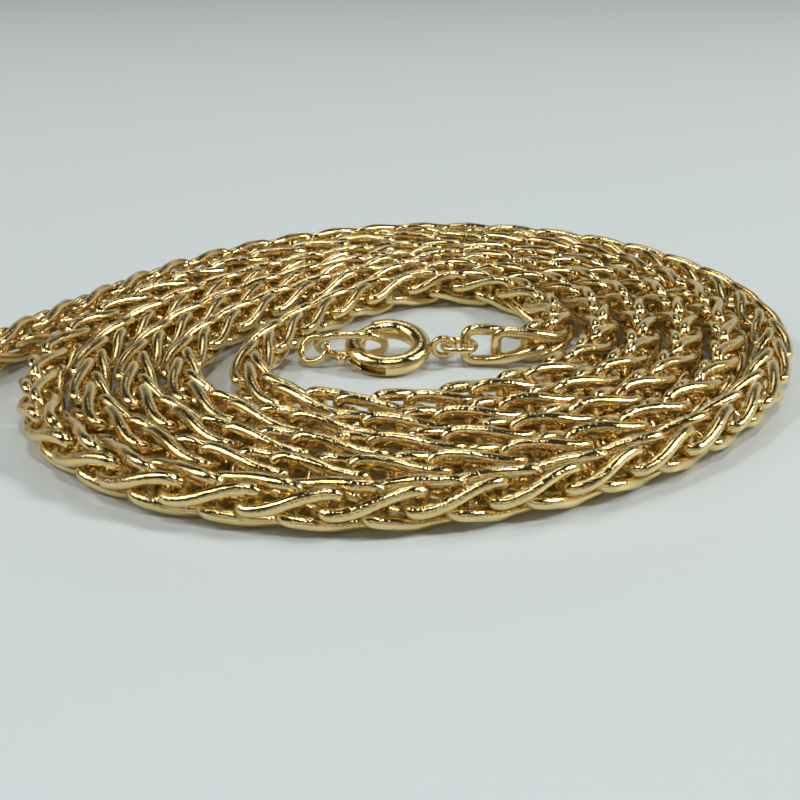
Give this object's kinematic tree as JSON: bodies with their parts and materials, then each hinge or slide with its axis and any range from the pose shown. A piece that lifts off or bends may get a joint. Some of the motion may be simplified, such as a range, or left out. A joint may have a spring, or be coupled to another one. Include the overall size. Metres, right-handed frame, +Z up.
{
  "type": "wheat chain necklace",
  "caption": "Necklace of interlocked twisted wire links in a round wheat pattern, laid in a flat spiral, with a spring-ring clasp and jump rings that fasten its two ends.",
  "frame": {"origin": "middle of the whole part's outline seen from above, on the surface that the necklace lies on", "axes": "+Z up from the surface; +X to the right and +Y to the back as the picture shows the coil"},
  "size_m": [0.0578, 0.049, 0.0025],
  "materials": {
    "polished_gold": "polished"
  },
  "bodies": {
    "necklace": {"chain_outer": "polished_gold", "chain_inner": "polished_gold", "connector_ring": "polished_gold", "clasp_body": "polished_gold", "hooked_link": "polished_gold", "small_ring": "polished_gold", "end_ring": "polished_gold"},
    "bolt": {"clasp_bolt": "polished_gold"}
  },
  "joints": [
    {"name": "clasp_bolt_hinge", "type": "hinge", "parent": "necklace", "child": "bolt", "pos_m": [0.0035, -0.00197, 0.00115], "axis": [0, -0.2419, 0.9703], "range_deg": [0, 57], "stiffness_Nm_per_rad": 0.0002, "springref_deg": -11.46}
  ]
}
